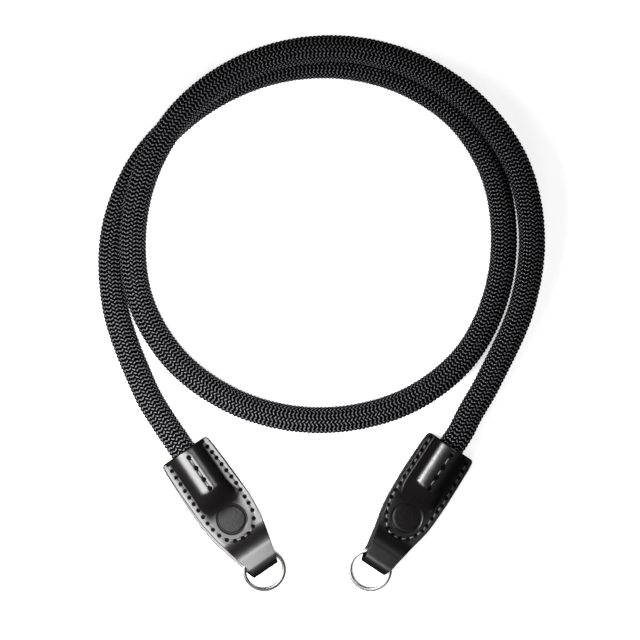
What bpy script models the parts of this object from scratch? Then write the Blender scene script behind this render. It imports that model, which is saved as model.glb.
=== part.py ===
"""Coiled rope camera strap, lying on a table.

A round braided rope lies in one and a half turns with two tails. Each tail ends in a leather tab: one
strip, folded back on itself round a split ring, whose front panel is moulded over the rope's end.

Metres, +Z up. The origin is on the table, under the middle of the box round the tabs and rings.
+X runs across from the left tab to the right one, and +Y towards the top of the coil.
"""

import math

import bmesh
import bpy
import numpy as np

# Rope
ROPE_DIAMETER = 0.0100
ROPE_POINTS = 80
ROPE_CLEARANCE = 0.0003  # between the rope and the leather round it
ROPE_END_DEPTH = 0.0170  # how far the rope reaches into a tab

# Leather tab
LEATHER = 0.0015
TAB_LENGTH = 0.0533
PANEL_GAP = 0.0003  # between the two sewn panels
FILLET = 0.00175  # where the moulded front turns out into its flat margin
MARGIN = 0.0032  # from that turn to the widest edge
CORNER = 0.0012
BULGE_RUN = 0.0080  # the moulded front sinks to the flat over this length past the rope's end
NECK_RUN = 0.0066  # the front panel climbs to the fold over this length

# Split ring
RING_OUTER_DIAMETER = 0.0162
WIRE_WIDTH = 0.00145
WIRE_HEIGHT = 0.0009
TURN_GAP = 0.0001
RAMP_ANGLE = 24.0  # degrees over which the wire steps from the lower turn to the upper
RING_HINGE_INSET = 0.0026  # the swing axis lies this far inside the middle of the wire
LOOP_PLAY = 0.0014  # above and below the wire in the fold
TABLE_CLEARANCE = 0.00005  # under the ring's free side

# Where along a tab its widths are given, as shares of its length
OUTLINE_SHARES = (0.00, 0.07, 0.20, 0.35, 0.50, 0.58, 0.65, 0.76, 0.88, 0.92, 1.00)

# Each end: place and heading of the mouth's middle, how far the front and back panels lie off the axis
# at the mouth and at the fold, the ring's middle past the fold's end and off the axis, the ring's turn,
# and the tab's widths as shares of the widest half, because each tab was cut by hand
ENDS = {
    "left": {
        "mouth": (-0.0494, 0.0224),
        "heading": -55.6,
        "front_shift": (0.0002, 0.0009),
        "back_shift": (-0.0002, -0.0005),
        "ring_reach": -0.0004,
        "ring_shift": -0.0003,
        "ring_turn": 180.0,
        "widths": (0.920, 0.965, 0.990, 1.000, 0.995, 0.950, 0.905, 0.775, 0.615, 0.575, 0.485),
    },
    "right": {
        "mouth": (0.0490, 0.0242),
        "heading": -123.5,
        "front_shift": (0.0005, 0.0014),
        "back_shift": (-0.0003, 0.0000),
        "ring_reach": 0.0012,
        "ring_shift": 0.0003,
        "ring_turn": 222.0,
        "widths": (0.890, 0.925, 0.938, 0.938, 0.905, 0.870, 0.805, 0.675, 0.560, 0.535, 0.463),
    },
}

# The rope's centreline from the left tab to the right one, chosen by hand
ROPE_ROUTE = (
    (-0.0398, 0.0084, 0.0068),
    (-0.0443, 0.0150, 0.0068),
    (-0.0494, 0.0224, 0.0068),
    (-0.0528, 0.0274, 0.0066),
    (-0.0570, 0.0336, 0.0059),
    (-0.0643, 0.0465, 0.0052),
    (-0.0743, 0.0740, 0.0051),
    (-0.0753, 0.1015, 0.0051),
    (-0.0664, 0.1262, 0.0051),
    (-0.0502, 0.1447, 0.0051),
    (-0.0308, 0.1571, 0.0051),
    (-0.0096, 0.1635, 0.0051),
    (0.0123, 0.1637, 0.0051),
    (0.0336, 0.1574, 0.0051),
    (0.0523, 0.1443, 0.0051),
    (0.0645, 0.1245, 0.0051),
    (0.0684, 0.1015, 0.0051),
    (0.0651, 0.0783, 0.0051),
    (0.0541, 0.0572, 0.0051),
    (0.0356, 0.0422, 0.0051),
    (0.0131, 0.0348, 0.0051),
    (-0.0105, 0.0346, 0.0051),
    (-0.0332, 0.0418, 0.0052),
    (-0.0526, 0.0563, 0.0062),
    (-0.0650, 0.0774, 0.0091),
    (-0.0678, 0.1015, 0.0122),
    (-0.0629, 0.1249, 0.0148),
    (-0.0508, 0.1453, 0.0154),
    (-0.0326, 0.1602, 0.0149),
    (-0.0105, 0.1686, 0.0142),
    (0.0133, 0.1697, 0.0136),
    (0.0369, 0.1631, 0.0132),
    (0.0577, 0.1489, 0.0128),
    (0.0730, 0.1276, 0.0106),
    (0.0786, 0.1015, 0.0078),
    (0.0747, 0.0748, 0.0072),
    (0.0634, 0.0495, 0.0058),
    (0.0560, 0.0364, 0.0060),
    (0.0524, 0.0294, 0.0066),
    (0.0490, 0.0242, 0.0068),
    (0.0440, 0.0167, 0.0068),
    (0.0396, 0.0100, 0.0068),
)

# Worked out from the sizes above
ROPE_RADIUS = ROPE_DIAMETER / 2
ROPE_HEIGHT = LEATHER + ROPE_CLEARANCE + ROPE_RADIUS  # the rope's middle inside a tab
BULGE_RADIUS = ROPE_RADIUS + ROPE_CLEARANCE + LEATHER / 2
BACK_HEIGHT = LEATHER / 2
FRONT_HEIGHT = LEATHER * 1.5 + PANEL_GAP
FILLET_HEIGHT = FRONT_HEIGHT + FILLET
FILLET_REACH = math.sqrt((BULGE_RADIUS + FILLET) ** 2 - (ROPE_HEIGHT - FILLET_HEIGHT) ** 2)
TAB_HALF = FILLET_REACH + MARGIN
RING_HEIGHT = 2 * WIRE_HEIGHT + TURN_GAP
FOLD_RADIUS = RING_HEIGHT / 2 + LOOP_PLAY + LEATHER / 2
FOLD_MIDDLE = TAB_LENGTH - FOLD_RADIUS - LEATHER / 2
NECK_END = FOLD_MIDDLE - 1.6 * FOLD_RADIUS
NECK_START = NECK_END - NECK_RUN
SWING_HEIGHT = BACK_HEIGHT + FOLD_RADIUS
WIRE_RADIUS = (RING_OUTER_DIAMETER - WIRE_WIDTH) / 2
RING_OFFSET = WIRE_RADIUS - RING_HINGE_INSET


def clear_scene():
    for item in list(bpy.data.objects):
        bpy.data.objects.remove(item, do_unlink=True)


def make_material(name, colour, roughness, metallic=0.0):
    material = bpy.data.materials.new(name)
    material.use_nodes = True
    shader = material.node_tree.nodes["Principled BSDF"]
    shader.inputs["Base Color"].default_value = (*colour, 1.0)
    shader.inputs["Roughness"].default_value = roughness
    shader.inputs["Metallic"].default_value = metallic
    return material


def add_object(name, data, material, parent=None):
    item = bpy.data.objects.new(name, data)
    data.materials.append(material)
    bpy.context.scene.collection.objects.link(item)
    item.parent = parent
    return item


def add_empty(name, location, heading):
    empty = bpy.data.objects.new(name, None)
    empty.location = (*location, 0.0)
    empty.rotation_euler = (0.0, 0.0, math.radians(heading))
    bpy.context.scene.collection.objects.link(empty)
    return empty


def smooth_route(points, steps=24):
    """A Catmull-Rom curve through the points, as an array of close points."""
    guides = np.array(points)
    ahead = 2 * guides[0] - guides[1]
    behind = 2 * guides[-1] - guides[-2]
    guides = np.vstack([ahead, guides, behind])
    curve = []
    for p0, p1, p2, p3 in zip(guides, guides[1:], guides[2:], guides[3:]):
        for step in range(steps):
            t = step / steps
            curve.append(
                0.5
                * (
                    2 * p1
                    + (p2 - p0) * t
                    + (2 * p0 - 5 * p1 + 4 * p2 - p3) * t**2
                    + (3 * p1 - p0 - 3 * p2 + p3) * t**3
                )
            )
    curve.append(guides[-2])
    return np.array(curve)


def even_points(curve, count):
    """count points spaced evenly along the curve."""
    travelled = np.concatenate([[0.0], np.cumsum(np.linalg.norm(np.diff(curve, axis=0), axis=1))])
    stops = np.linspace(0.0, travelled[-1], count)
    return np.column_stack([np.interp(stops, travelled, curve[:, axis]) for axis in range(3)])


def make_rope(material):
    path = even_points(smooth_route(ROPE_ROUTE), ROPE_POINTS)
    data = bpy.data.curves.new("rope", "CURVE")
    data.dimensions = "3D"
    data.bevel_depth = ROPE_RADIUS
    data.bevel_resolution = 4
    data.use_fill_caps = True
    spline = data.splines.new("POLY")
    spline.points.add(len(path) - 1)
    for point, place in zip(spline.points, path):
        point.co = (*place, 1.0)
    return add_object("rope", data, material)


def ease(share):
    """0 to 1 with a level start and end."""
    share = min(max(share, 0.0), 1.0)
    return (1 - math.cos(math.pi * share)) / 2


def half_width(end, along):
    """The tab's half width at a distance from its mouth, with the mouth's corners rounded."""
    half = TAB_HALF * float(np.interp(along / TAB_LENGTH, OUTLINE_SHARES, end["widths"]))
    if along < CORNER:
        half -= CORNER - math.sqrt(CORNER**2 - (CORNER - along) ** 2)
    return half


def bulge_section():
    """Half of the front panel's section over the rope, from the margin's inner end to the top."""
    turn = math.asin((ROPE_HEIGHT - FILLET_HEIGHT) / (BULGE_RADIUS + FILLET))
    points = []
    for step in range(4):
        angle = math.radians(270.0) + (math.pi - turn - math.radians(270.0)) * step / 3
        points.append((FILLET_REACH + FILLET * math.cos(angle), FILLET_HEIGHT + FILLET * math.sin(angle)))
    for step in range(1, 7):
        angle = -turn + (math.pi / 2 + turn) * step / 6
        points.append((BULGE_RADIUS * math.cos(angle), ROPE_HEIGHT + BULGE_RADIUS * math.sin(angle)))
    return points


def across():
    """The columns of a tab from its -Y edge to its +Y edge, each as (side, place, rise, flat share).

    place and rise hold over the rope. The flat share of the half width follows the leather's own length."""
    half = [(TAB_HALF, 0.0)] + [(place, height - FRONT_HEIGHT) for place, height in bulge_section()]
    lengths = [math.dist(a, b) for a, b in zip(half, half[1:])]
    columns = []
    for number, (place, rise) in enumerate(half):
        columns.append((-1, place, rise, sum(lengths[number:]) / sum(lengths)))
    mirrored = [(1, *column[1:]) for column in reversed(columns[:-1])]
    return columns + mirrored


def panel_row(end, along, height, shift, bulge):
    """One row of points across a panel. bulge is 1 over the rope and 0 where the panel is flat."""
    half = half_width(end, along)
    row = []
    for side, place, rise, share in across():
        flat = side * share * half + shift
        weight = bulge if share < 1.0 else 0.0
        row.append((along, flat + (side * place - flat) * weight, height + rise * bulge))
    return row


def strip_rows(end):
    """The folded strip's middle surface: back panel from the mouth, fold, then front panel to the mouth."""
    corner = [CORNER * share for share in (0.0, 0.15, 0.5, 1.0)]
    widths = [TAB_LENGTH * share for share in OUTLINE_SHARES if CORNER < TAB_LENGTH * share < FOLD_MIDDLE]
    bulge_end = ROPE_END_DEPTH + ROPE_CLEARANCE
    sink = [bulge_end + BULGE_RUN * share for share in (0.0, 0.15, 0.3, 0.45, 0.6, 0.75, 0.9, 1.0)]
    climb = [NECK_START + NECK_RUN * share for share in (0.0, 0.2, 0.35, 0.5, 0.65, 0.8, 1.0)]

    def shift_at(pair, along):
        return pair[0] + (pair[1] - pair[0]) * ease(along / NECK_END)

    rows = [
        panel_row(end, along, BACK_HEIGHT, shift_at(end["back_shift"], along), 0.0)
        for along in corner + widths + [FOLD_MIDDLE]
    ]
    for step in range(1, 10):
        angle = -math.pi / 2 + math.pi * step / 10
        along = FOLD_MIDDLE + FOLD_RADIUS * math.cos(angle)
        height = BACK_HEIGHT + FOLD_RADIUS * (1 + math.sin(angle))
        back, front = end["back_shift"][1], end["front_shift"][1]
        rows.append(panel_row(end, along, height, back + (front - back) * step / 10, 0.0))
    clear_of_others = [w for w in widths if not (sink[0] < w < sink[-1] or NECK_START < w < NECK_END)]
    front_stations = sorted(corner + clear_of_others + sink + climb + [FOLD_MIDDLE], reverse=True)
    fold_top = BACK_HEIGHT + 2 * FOLD_RADIUS
    for along in front_stations:
        height = FRONT_HEIGHT + (fold_top - FRONT_HEIGHT) * ease((along - NECK_START) / NECK_RUN)
        bulge = 1 - ease((along - bulge_end) / BULGE_RUN)
        rows.append(panel_row(end, along, height, shift_at(end["front_shift"], along), bulge))
    return rows


def make_tab(name, end, parent, material):
    mesh = bpy.data.meshes.new(name)
    shape = bmesh.new()
    rows = [[shape.verts.new(point) for point in row] for row in strip_rows(end)]
    for row, following in zip(rows, rows[1:]):
        for a, b, c, d in zip(row, row[1:], following[1:], following):
            shape.faces.new((a, d, c, b))
    shape.to_mesh(mesh)
    shape.free()
    mesh.shade_smooth()
    tab = add_object(name, mesh, material, parent)
    solidify = tab.modifiers.new("leather", "SOLIDIFY")
    solidify.thickness = LEATHER
    solidify.offset = 0.0
    solidify.use_even_offset = True
    return tab


def wire_section():
    """The wire's rounded flat section, as (outwards, up) from its middle."""
    wide, high = WIRE_WIDTH / 2, WIRE_HEIGHT / 2
    return [
        (wide, 0.5 * high),
        (0.6 * wide, high),
        (-0.6 * wide, high),
        (-wide, 0.5 * high),
        (-wide, -0.5 * high),
        (-0.6 * wide, -high),
        (0.6 * wide, -high),
        (wide, -0.5 * high),
    ]


def wire_level(angle):
    """Height of the wire's middle after so many degrees from its lower end."""
    level = (WIRE_HEIGHT + TURN_GAP) / 2
    return -level + 2 * level * ease((angle - (360.0 - RAMP_ANGLE)) / RAMP_ANGLE)


def make_ring(name, end, parent, material):
    """A split ring: a lower and an upper turn of one wire, hung on its swing axis in the fold."""
    mesh = bpy.data.meshes.new(name)
    shape = bmesh.new()
    step = RAMP_ANGLE / 4
    whole = 720.0 - RAMP_ANGLE - step
    loops = []
    for count in range(round(whole / step) + 1):
        turned = count * step
        angle = math.radians(end["ring_turn"] + turned)
        level = wire_level(turned)
        loop = []
        for outwards, up in wire_section():
            radius = WIRE_RADIUS + outwards
            place = (RING_OFFSET + radius * math.cos(angle), radius * math.sin(angle), level + up)
            loop.append(shape.verts.new(place))
        loops.append(loop)
    for loop, following in zip(loops, loops[1:]):
        for here, there in zip(range(8), (*range(1, 8), 0)):
            shape.faces.new((loop[here], following[here], following[there], loop[there]))
    shape.faces.new(loops[0])
    shape.faces.new(reversed(loops[-1]))
    bmesh.ops.recalc_face_normals(shape, faces=shape.faces)
    shape.to_mesh(mesh)
    shape.free()
    mesh.shade_smooth()
    mesh.set_sharp_from_angle(angle=math.radians(50.0))
    ring = add_object(name, mesh, material, parent)
    swing_at = TAB_LENGTH + end["ring_reach"] - RING_OFFSET
    ring.location = (swing_at, end["ring_shift"], SWING_HEIGHT)
    ring.rotation_euler = (0.0, resting_tilt(), 0.0)
    return ring


def resting_tilt():
    """The angle at which the ring's free side lies on the table."""
    reach = RING_OFFSET + RING_OUTER_DIAMETER / 2
    corner = math.hypot(reach, RING_HEIGHT / 2)
    drop = SWING_HEIGHT - TABLE_CLEARANCE
    return math.asin(drop / corner) - math.atan2(RING_HEIGHT / 2, reach)


def main():
    clear_scene()
    rope_black = make_material("black braided rope", (0.018, 0.018, 0.020), 0.65)
    leather_black = make_material("black leather", (0.012, 0.012, 0.013), 0.30)
    steel = make_material("polished steel", (0.62, 0.62, 0.61), 0.22, metallic=1.0)
    make_rope(rope_black)
    for side, end in ENDS.items():
        frame = add_empty(f"{side}_end", end["mouth"], end["heading"])
        make_tab(f"{side}_tab", end, frame, leather_black)
        make_ring(f"{side}_ring", end, frame, steel)


main()
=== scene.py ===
"""Coiled rope camera strap: braid, leather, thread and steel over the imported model.

Metres, +Z up, in the model's own frame. Each leather tab has a frame of its own: along runs from its
mouth to its ring, and side runs to the photograph's right. The places of stitches and marks are given in
it in mm.
"""

import math

import bpy
import numpy as np
from mathutils import Matrix, Vector


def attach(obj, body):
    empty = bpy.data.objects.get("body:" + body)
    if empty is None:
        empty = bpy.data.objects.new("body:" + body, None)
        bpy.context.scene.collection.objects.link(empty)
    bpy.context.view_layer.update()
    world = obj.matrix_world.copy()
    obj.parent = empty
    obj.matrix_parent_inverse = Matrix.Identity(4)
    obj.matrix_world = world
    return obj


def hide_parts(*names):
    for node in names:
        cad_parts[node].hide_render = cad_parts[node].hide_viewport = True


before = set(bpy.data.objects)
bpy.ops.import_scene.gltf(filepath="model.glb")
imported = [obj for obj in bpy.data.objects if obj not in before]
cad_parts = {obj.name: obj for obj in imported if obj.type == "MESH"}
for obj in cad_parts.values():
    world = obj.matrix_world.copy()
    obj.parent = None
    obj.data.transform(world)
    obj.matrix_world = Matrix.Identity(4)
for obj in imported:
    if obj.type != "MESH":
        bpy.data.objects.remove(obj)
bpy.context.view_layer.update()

MM = 0.001

# Camera and photograph
PHOTO_MIDDLE = (0.00076, 0.07066)
PHOTO_SPAN = 0.2353
SHARP_HEIGHT = 0.0066  # the level at which the photograph's span holds
CAMERA_HEIGHT = 2.0
SENSOR = 36.0

# Room and paper
ROOM_LIGHT = 0.03
FLOOR_SIZE = 6.0
FLOOR_LEVEL = -0.0001  # a little under the tabs' backs
FLOOR_LIFT = 0.62  # the paper is over-exposed by this much, so that its shadows are faint

# Softboxes: name, place, point they face, width and depth, watts, and whether only gloss shows them
LIGHT_AIM = (*PHOTO_MIDDLE, 0.0)
LIGHTS = (
    ("left_softbox", (-0.95, 0.30, 0.80), LIGHT_AIM, (0.36, 0.46), 5.0, False),
    ("left_gloss", (-0.93, 0.40, 0.80), LIGHT_AIM, (0.32, 0.40), 24.0, True),
    ("right_softbox", (0.92, 0.40, 1.05), LIGHT_AIM, (0.50, 0.50), 6.0, False),
    ("low_softbox", (0.10, -0.90, 0.85), LIGHT_AIM, (0.50, 0.35), 2.2, False),
    ("near_panel", (-0.085, -0.020, 0.12), (-0.085, -0.020, 0.0), (0.140, 0.110), 0.58, False),
    ("near_skirt", (-0.125, -0.020, 0.14), (-0.125, -0.020, 0.0), (0.220, 0.200), 0.40, False),
)

# Rope
ROPE_DIAMETER = 0.0100
CORE_RADIUS = 0.0044
CORE_POINTS = 300
LINE_POINTS = 1200
BRAID_START = 0.0130  # the strands begin this far along the rope, inside the tab's mouth
RIBS = 24  # columns of stitches round the rope
ROW_PITCH = 0.00148  # from one stitch to the next in a column
STRAND_RISE = 0.58  # share of the pitch that a stitch rises across its column
ROW_STAGGER = 0.04  # share of the pitch between neighbouring columns
BROKEN_RIB = 4  # every fourth column is staggered much more
BREAK_STAGGER = 0.42
STRAND_HALF_WIDTH = 0.00050
STRAND_HALF_HEIGHT = 0.00042
STRAND_SPREAD = (0.03, 0.00002, 0.00003, 0.00002)  # of the width as a share, and round, along and outwards
# Painted shade: the colour of a strand's sides and ends
STRAND_PAINTED_SHADE = (0.0008, 0.0008, 0.0010)
# Painted highlight: the colour of a strand's back, varying at random between these two tones
STRAND_HIGHLIGHT_TONES = ((0.074, 0.074, 0.081), (0.130, 0.130, 0.142))
PAINTED_CREST_WIDTH = (0.04, 0.28)  # a strand's colour is a painted highlight up to the first and painted shade from the second, in mm off its middle
# The painted highlight also fades into painted shade towards a float's ends, between these distances in mm
# along it
PAINTED_CREST_LENGTH = (0.35, 0.80)
BRAID_PARTS = ("braid_left_tail", "braid_first_turn", "braid_second_turn", "braid_right_tail")

# Leather tab
LEATHER = 0.0015
TAB_LENGTH = 0.0533
PANEL_GAP = 0.0003
FILLET = 0.00175
MARGIN = 0.0032
CORNER = 0.0012
BULGE_RUN = 0.0080
BULGE_SOFTER = 0.0005  # the slope starts this much before the model's and ends this much after it
NECK_RUN = 0.0066
NECK_SOFTER = 0.0012
NECK_LEVEL = 1.6  # of the fold's radius, level before the fold's middle
ROPE_CLEARANCE = 0.0003
ROPE_END_DEPTH = 0.0170
EDGE_ROUND = 0.00055  # the cut edges are rounded over this distance
FINE_STEP = 0.00030
BACK_STEP = 0.00060

# Leather's surface: its darkest and lightest tone, and scale and depth of what is uneven on it
LEATHER_TONES = ((0.003, 0.003, 0.003), (0.007, 0.006, 0.006))
GRAIN = (2600.0, 0.000012)
WAVES = (220.0, 0.00008)
PEBBLES = (1500.0, 0.00007)  # on the disc alone

# Pressed into the leather, in mm: depth, and how far the hollow reaches to the side
STITCH_LINE = (0.06, 0.60)
STITCH_PIT = (0.45, 0.45)
GROOVE = (0.26, 0.85)
GROOVE_PIT = (0.60, 0.55)

# Pressed mark, in mm: a ring line between two radii round a disc that is a low dome
MARK_EDGE = 5.75
MARK_LINE = 4.95
MARK_DEPTH = 0.26
LINE_HALF_WIDTH = 0.38
DISC_DEPTH = 0.08
DISC_STEP = 0.4
DISC_DOME = 0.12
GRAINED_RADIUS = 4.75
GRAINED_FADE = 0.5

# Split ring
RING_OUTER_DIAMETER = 0.0162
WIRE_WIDTH = 0.00145
WIRE_HEIGHT = 0.0009
WIRE_ROUND = 0.00043
TURN_GAP = 0.0001
RAMP_ANGLE = 24.0
RING_HINGE_INSET = 0.0026
LOOP_PLAY = 0.0014
TABLE_CLEARANCE = 0.00005
WIRE_STEP = 3.0  # degrees from one section of the wire to the next

# Thread
THREAD_HALF_WIDTH = 0.00036
THREAD_HALF_HEIGHT = 0.00026
THREAD_SHARE = 0.60  # of the way from hole to hole
THREAD_LEAN = 7.0  # degrees that an edge stitch leans from the line of holes
THREAD_SINK = 0.00008
GROOVE_THREAD_SINK = 0.00030
BACK_THREAD_HEIGHT = 0.00032
THREAD_DIP = 1.1  # of its half height, at a stitch's ends
HOLE_RADIUS = 0.00090
HOLE_FLATNESS = 0.25  # of the radius, like the dish in its middle
HOLE_DISH = 0.35
HOLE_SINK = 0.00016
GROOVE_HOLE_SINK = 0.00022

# The leather's gloss grows from none to full while the upward part of its normal goes from STEEP to LEVEL
STEEP = 0.72
LEVEL = 0.93
MARK_GLOSS = 0.28

# The flat leather is duller between its rows of stitches than outside them, in mm to the side
INSIDE_HALF = 6.0
INSIDE_FADE = 2.6
INSIDE_DULLER = 0.52
NECK_GLOSS = 0.75

# A hole is dull up to the first distance and gains its gloss up to the second, in mm. The groove and the
# stitch line are dull in the same way, but count as farther away by their own values
HOLE_FADE = (0.65, 0.95)
GROOVE_BRIGHTER = 0.35
CHANNEL_BRIGHTER = 0.66

# The slope past the rope's end and the crease at its foot are dull and gain gloss over some way, in mm
SLOPE_HALF = 5.2
SLOPE_END = 25.0
SLOPE_FADE = 4.5
SHOULDER = 16.0  # the hump's top is glossy up to here
SHOULDER_FADE = 2.5

# Where along a tab its widths are given, as shares of its length
OUTLINE_SHARES = (0.00, 0.07, 0.20, 0.35, 0.50, 0.58, 0.65, 0.76, 0.88, 0.92, 1.00)

# Each end: as in the model, and then the groove's side, the holes along it, the round mark's place and
# the edge stitches' holes as (along, side) in mm
ENDS = {
    "left": {
        "mouth": (-0.0494, 0.0224),
        "heading": -55.6,
        "front_shift": (0.0002, 0.0009),
        "back_shift": (-0.0002, -0.0005),
        "ring_reach": -0.0004,
        "ring_shift": -0.0003,
        "ring_turn": 180.0,
        "widths": (0.920, 0.965, 0.990, 1.000, 0.995, 0.950, 0.905, 0.775, 0.615, 0.575, 0.485),
        "groove_side": 0.55,
        "groove_holes": (2.9, 7.7, 12.7, 16.7),
        "mark": (30.7, 0.5),
        "edge_holes": (
            (0.9, -7.65), (3.6, -7.75), (6.5, -7.85), (9.4, -7.9),
            (12.4, -7.95), (15.3, -8.0), (18.2, -8.0), (21.1, -7.95),
            (24.1, -7.9), (27.0, -7.8), (30.0, -7.5), (33.1, -6.8),
            (36.0, -5.4), (38.0, -3.1), (38.8, -0.1), (38.6, 2.6),
            (37.3, 5.4), (35.0, 7.35), (32.2, 8.6), (29.2, 9.0),
            (26.5, 9.1), (23.5, 9.25), (20.6, 9.35), (17.6, 9.25),
            (14.7, 9.0), (11.8, 8.8), (8.8, 8.6), (6.2, 8.45),
            (3.5, 8.1), (0.9, 7.7),
        ),
    },
    "right": {
        "mouth": (0.0490, 0.0242),
        "heading": -123.5,
        "front_shift": (0.0005, 0.0014),
        "back_shift": (-0.0003, 0.0000),
        "ring_reach": 0.0012,
        "ring_shift": 0.0003,
        "ring_turn": 222.0,
        "widths": (0.890, 0.925, 0.938, 0.938, 0.905, 0.870, 0.805, 0.675, 0.560, 0.535, 0.463),
        "groove_side": 1.5,
        "groove_holes": (2.6, 8.1, 12.5, 17.3),
        "mark": (30.9, 0.9),
        "edge_holes": (
            (1.2, -8.0), (4.1, -8.0), (7.0, -8.0), (9.9, -8.0),
            (12.8, -8.0), (15.8, -8.0), (18.7, -8.0), (21.6, -8.0),
            (24.6, -8.0), (27.6, -7.8), (30.5, -7.2), (33.3, -6.25),
            (35.8, -4.8), (38.2, -2.8), (39.3, 0.0), (38.8, 2.9),
            (37.3, 5.7), (34.7, 7.35), (31.8, 8.5), (29.4, 8.8),
            (26.1, 9.0), (23.0, 9.2), (20.2, 9.4), (16.9, 9.2),
            (14.0, 9.1), (11.0, 9.0), (8.1, 8.8), (5.5, 8.6),
            (2.6, 8.3),
        ),
    },
}

# The rope's centreline from the left tab to the right one, as in the model
ROPE_ROUTE = (
    (-0.0398, 0.0084, 0.0068),
    (-0.0443, 0.0150, 0.0068),
    (-0.0494, 0.0224, 0.0068),
    (-0.0528, 0.0274, 0.0066),
    (-0.0570, 0.0336, 0.0059),
    (-0.0643, 0.0465, 0.0052),
    (-0.0743, 0.0740, 0.0051),
    (-0.0753, 0.1015, 0.0051),
    (-0.0664, 0.1262, 0.0051),
    (-0.0502, 0.1447, 0.0051),
    (-0.0308, 0.1571, 0.0051),
    (-0.0096, 0.1635, 0.0051),
    (0.0123, 0.1637, 0.0051),
    (0.0336, 0.1574, 0.0051),
    (0.0523, 0.1443, 0.0051),
    (0.0645, 0.1245, 0.0051),
    (0.0684, 0.1015, 0.0051),
    (0.0651, 0.0783, 0.0051),
    (0.0541, 0.0572, 0.0051),
    (0.0356, 0.0422, 0.0051),
    (0.0131, 0.0348, 0.0051),
    (-0.0105, 0.0346, 0.0051),
    (-0.0332, 0.0418, 0.0052),
    (-0.0526, 0.0563, 0.0062),
    (-0.0650, 0.0774, 0.0091),
    (-0.0678, 0.1015, 0.0122),
    (-0.0629, 0.1249, 0.0148),
    (-0.0508, 0.1453, 0.0154),
    (-0.0326, 0.1602, 0.0149),
    (-0.0105, 0.1686, 0.0142),
    (0.0133, 0.1697, 0.0136),
    (0.0369, 0.1631, 0.0132),
    (0.0577, 0.1489, 0.0128),
    (0.0730, 0.1276, 0.0106),
    (0.0786, 0.1015, 0.0078),
    (0.0747, 0.0748, 0.0072),
    (0.0634, 0.0495, 0.0058),
    (0.0560, 0.0364, 0.0060),
    (0.0524, 0.0294, 0.0066),
    (0.0490, 0.0242, 0.0068),
    (0.0440, 0.0167, 0.0068),
    (0.0396, 0.0100, 0.0068),
)

# Worked out from the sizes above
ROPE_RADIUS = ROPE_DIAMETER / 2
ROPE_HEIGHT = LEATHER + ROPE_CLEARANCE + ROPE_RADIUS
BULGE_RADIUS = ROPE_RADIUS + ROPE_CLEARANCE + LEATHER / 2
BACK_HEIGHT = LEATHER / 2
FRONT_HEIGHT = LEATHER * 1.5 + PANEL_GAP
FILLET_HEIGHT = FRONT_HEIGHT + FILLET
FILLET_REACH = math.sqrt((BULGE_RADIUS + FILLET) ** 2 - (ROPE_HEIGHT - FILLET_HEIGHT) ** 2)
TAB_HALF = FILLET_REACH + MARGIN
RING_HEIGHT = 2 * WIRE_HEIGHT + TURN_GAP
FOLD_RADIUS = RING_HEIGHT / 2 + LOOP_PLAY + LEATHER / 2
FOLD_MIDDLE = TAB_LENGTH - FOLD_RADIUS - LEATHER / 2
NECK_END = FOLD_MIDDLE - NECK_LEVEL * FOLD_RADIUS
NECK_START = NECK_END - NECK_RUN
BULGE_END = ROPE_END_DEPTH + ROPE_CLEARANCE
SWING_HEIGHT = BACK_HEIGHT + FOLD_RADIUS
WIRE_RADIUS = (RING_OUTER_DIAMETER - WIRE_WIDTH) / 2
RING_OFFSET = WIRE_RADIUS - RING_HINGE_INSET


# Helpers


def deselect():
    bpy.ops.object.select_all(action="DESELECT")


def named(name):
    """The active object, renamed, with its mesh."""
    piece = bpy.context.object
    piece.name = name
    piece.data.name = name
    return piece


def select_only(*pieces):
    deselect()
    for piece in pieces:
        piece.select_set(True)
    bpy.context.view_layer.objects.active = pieces[0]


def edit_all():
    """Edit mode on the active mesh, with all of it selected."""
    bpy.ops.object.mode_set(mode="EDIT")
    bpy.ops.mesh.select_all(action="SELECT")


def give(piece, material):
    piece.data.materials.clear()
    piece.data.materials.append(material)


def ease(share):
    """0 to 1 with a level start and end, for numbers and arrays."""
    return (1 - np.cos(math.pi * np.clip(share, 0.0, 1.0))) / 2


def to_world(end, along, side, height):
    """Points of a tab's own frame in the model's frame."""
    turn = math.radians(end["heading"])
    x = end["mouth"][0] + along * math.cos(turn) - side * math.sin(turn)
    y = end["mouth"][1] + along * math.sin(turn) + side * math.cos(turn)
    return np.stack(np.broadcast_arrays(x, y, height), axis=-1)


# Camera, floor and lights


def set_camera():
    data = bpy.data.cameras.new("camera")
    data.sensor_width = SENSOR
    data.lens = SENSOR * (CAMERA_HEIGHT - SHARP_HEIGHT) / PHOTO_SPAN
    camera = bpy.data.objects.new("camera", data)
    camera.location = (*PHOTO_MIDDLE, CAMERA_HEIGHT)
    bpy.context.scene.collection.objects.link(camera)
    bpy.context.scene.camera = camera


def add_softbox(name, place, aim, size, power, gloss_only):
    data = bpy.data.lights.new(name, "AREA")
    data.shape = "RECTANGLE"
    data.size, data.size_y = size
    data.energy = power
    light = bpy.data.objects.new(name, data)
    light.location = place
    light.visible_camera = False
    light.visible_diffuse = not gloss_only
    towards = Vector(aim) - Vector(place)
    light.rotation_euler = towards.to_track_quat("-Z", "Y").to_euler()
    bpy.context.scene.collection.objects.link(light)


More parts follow.
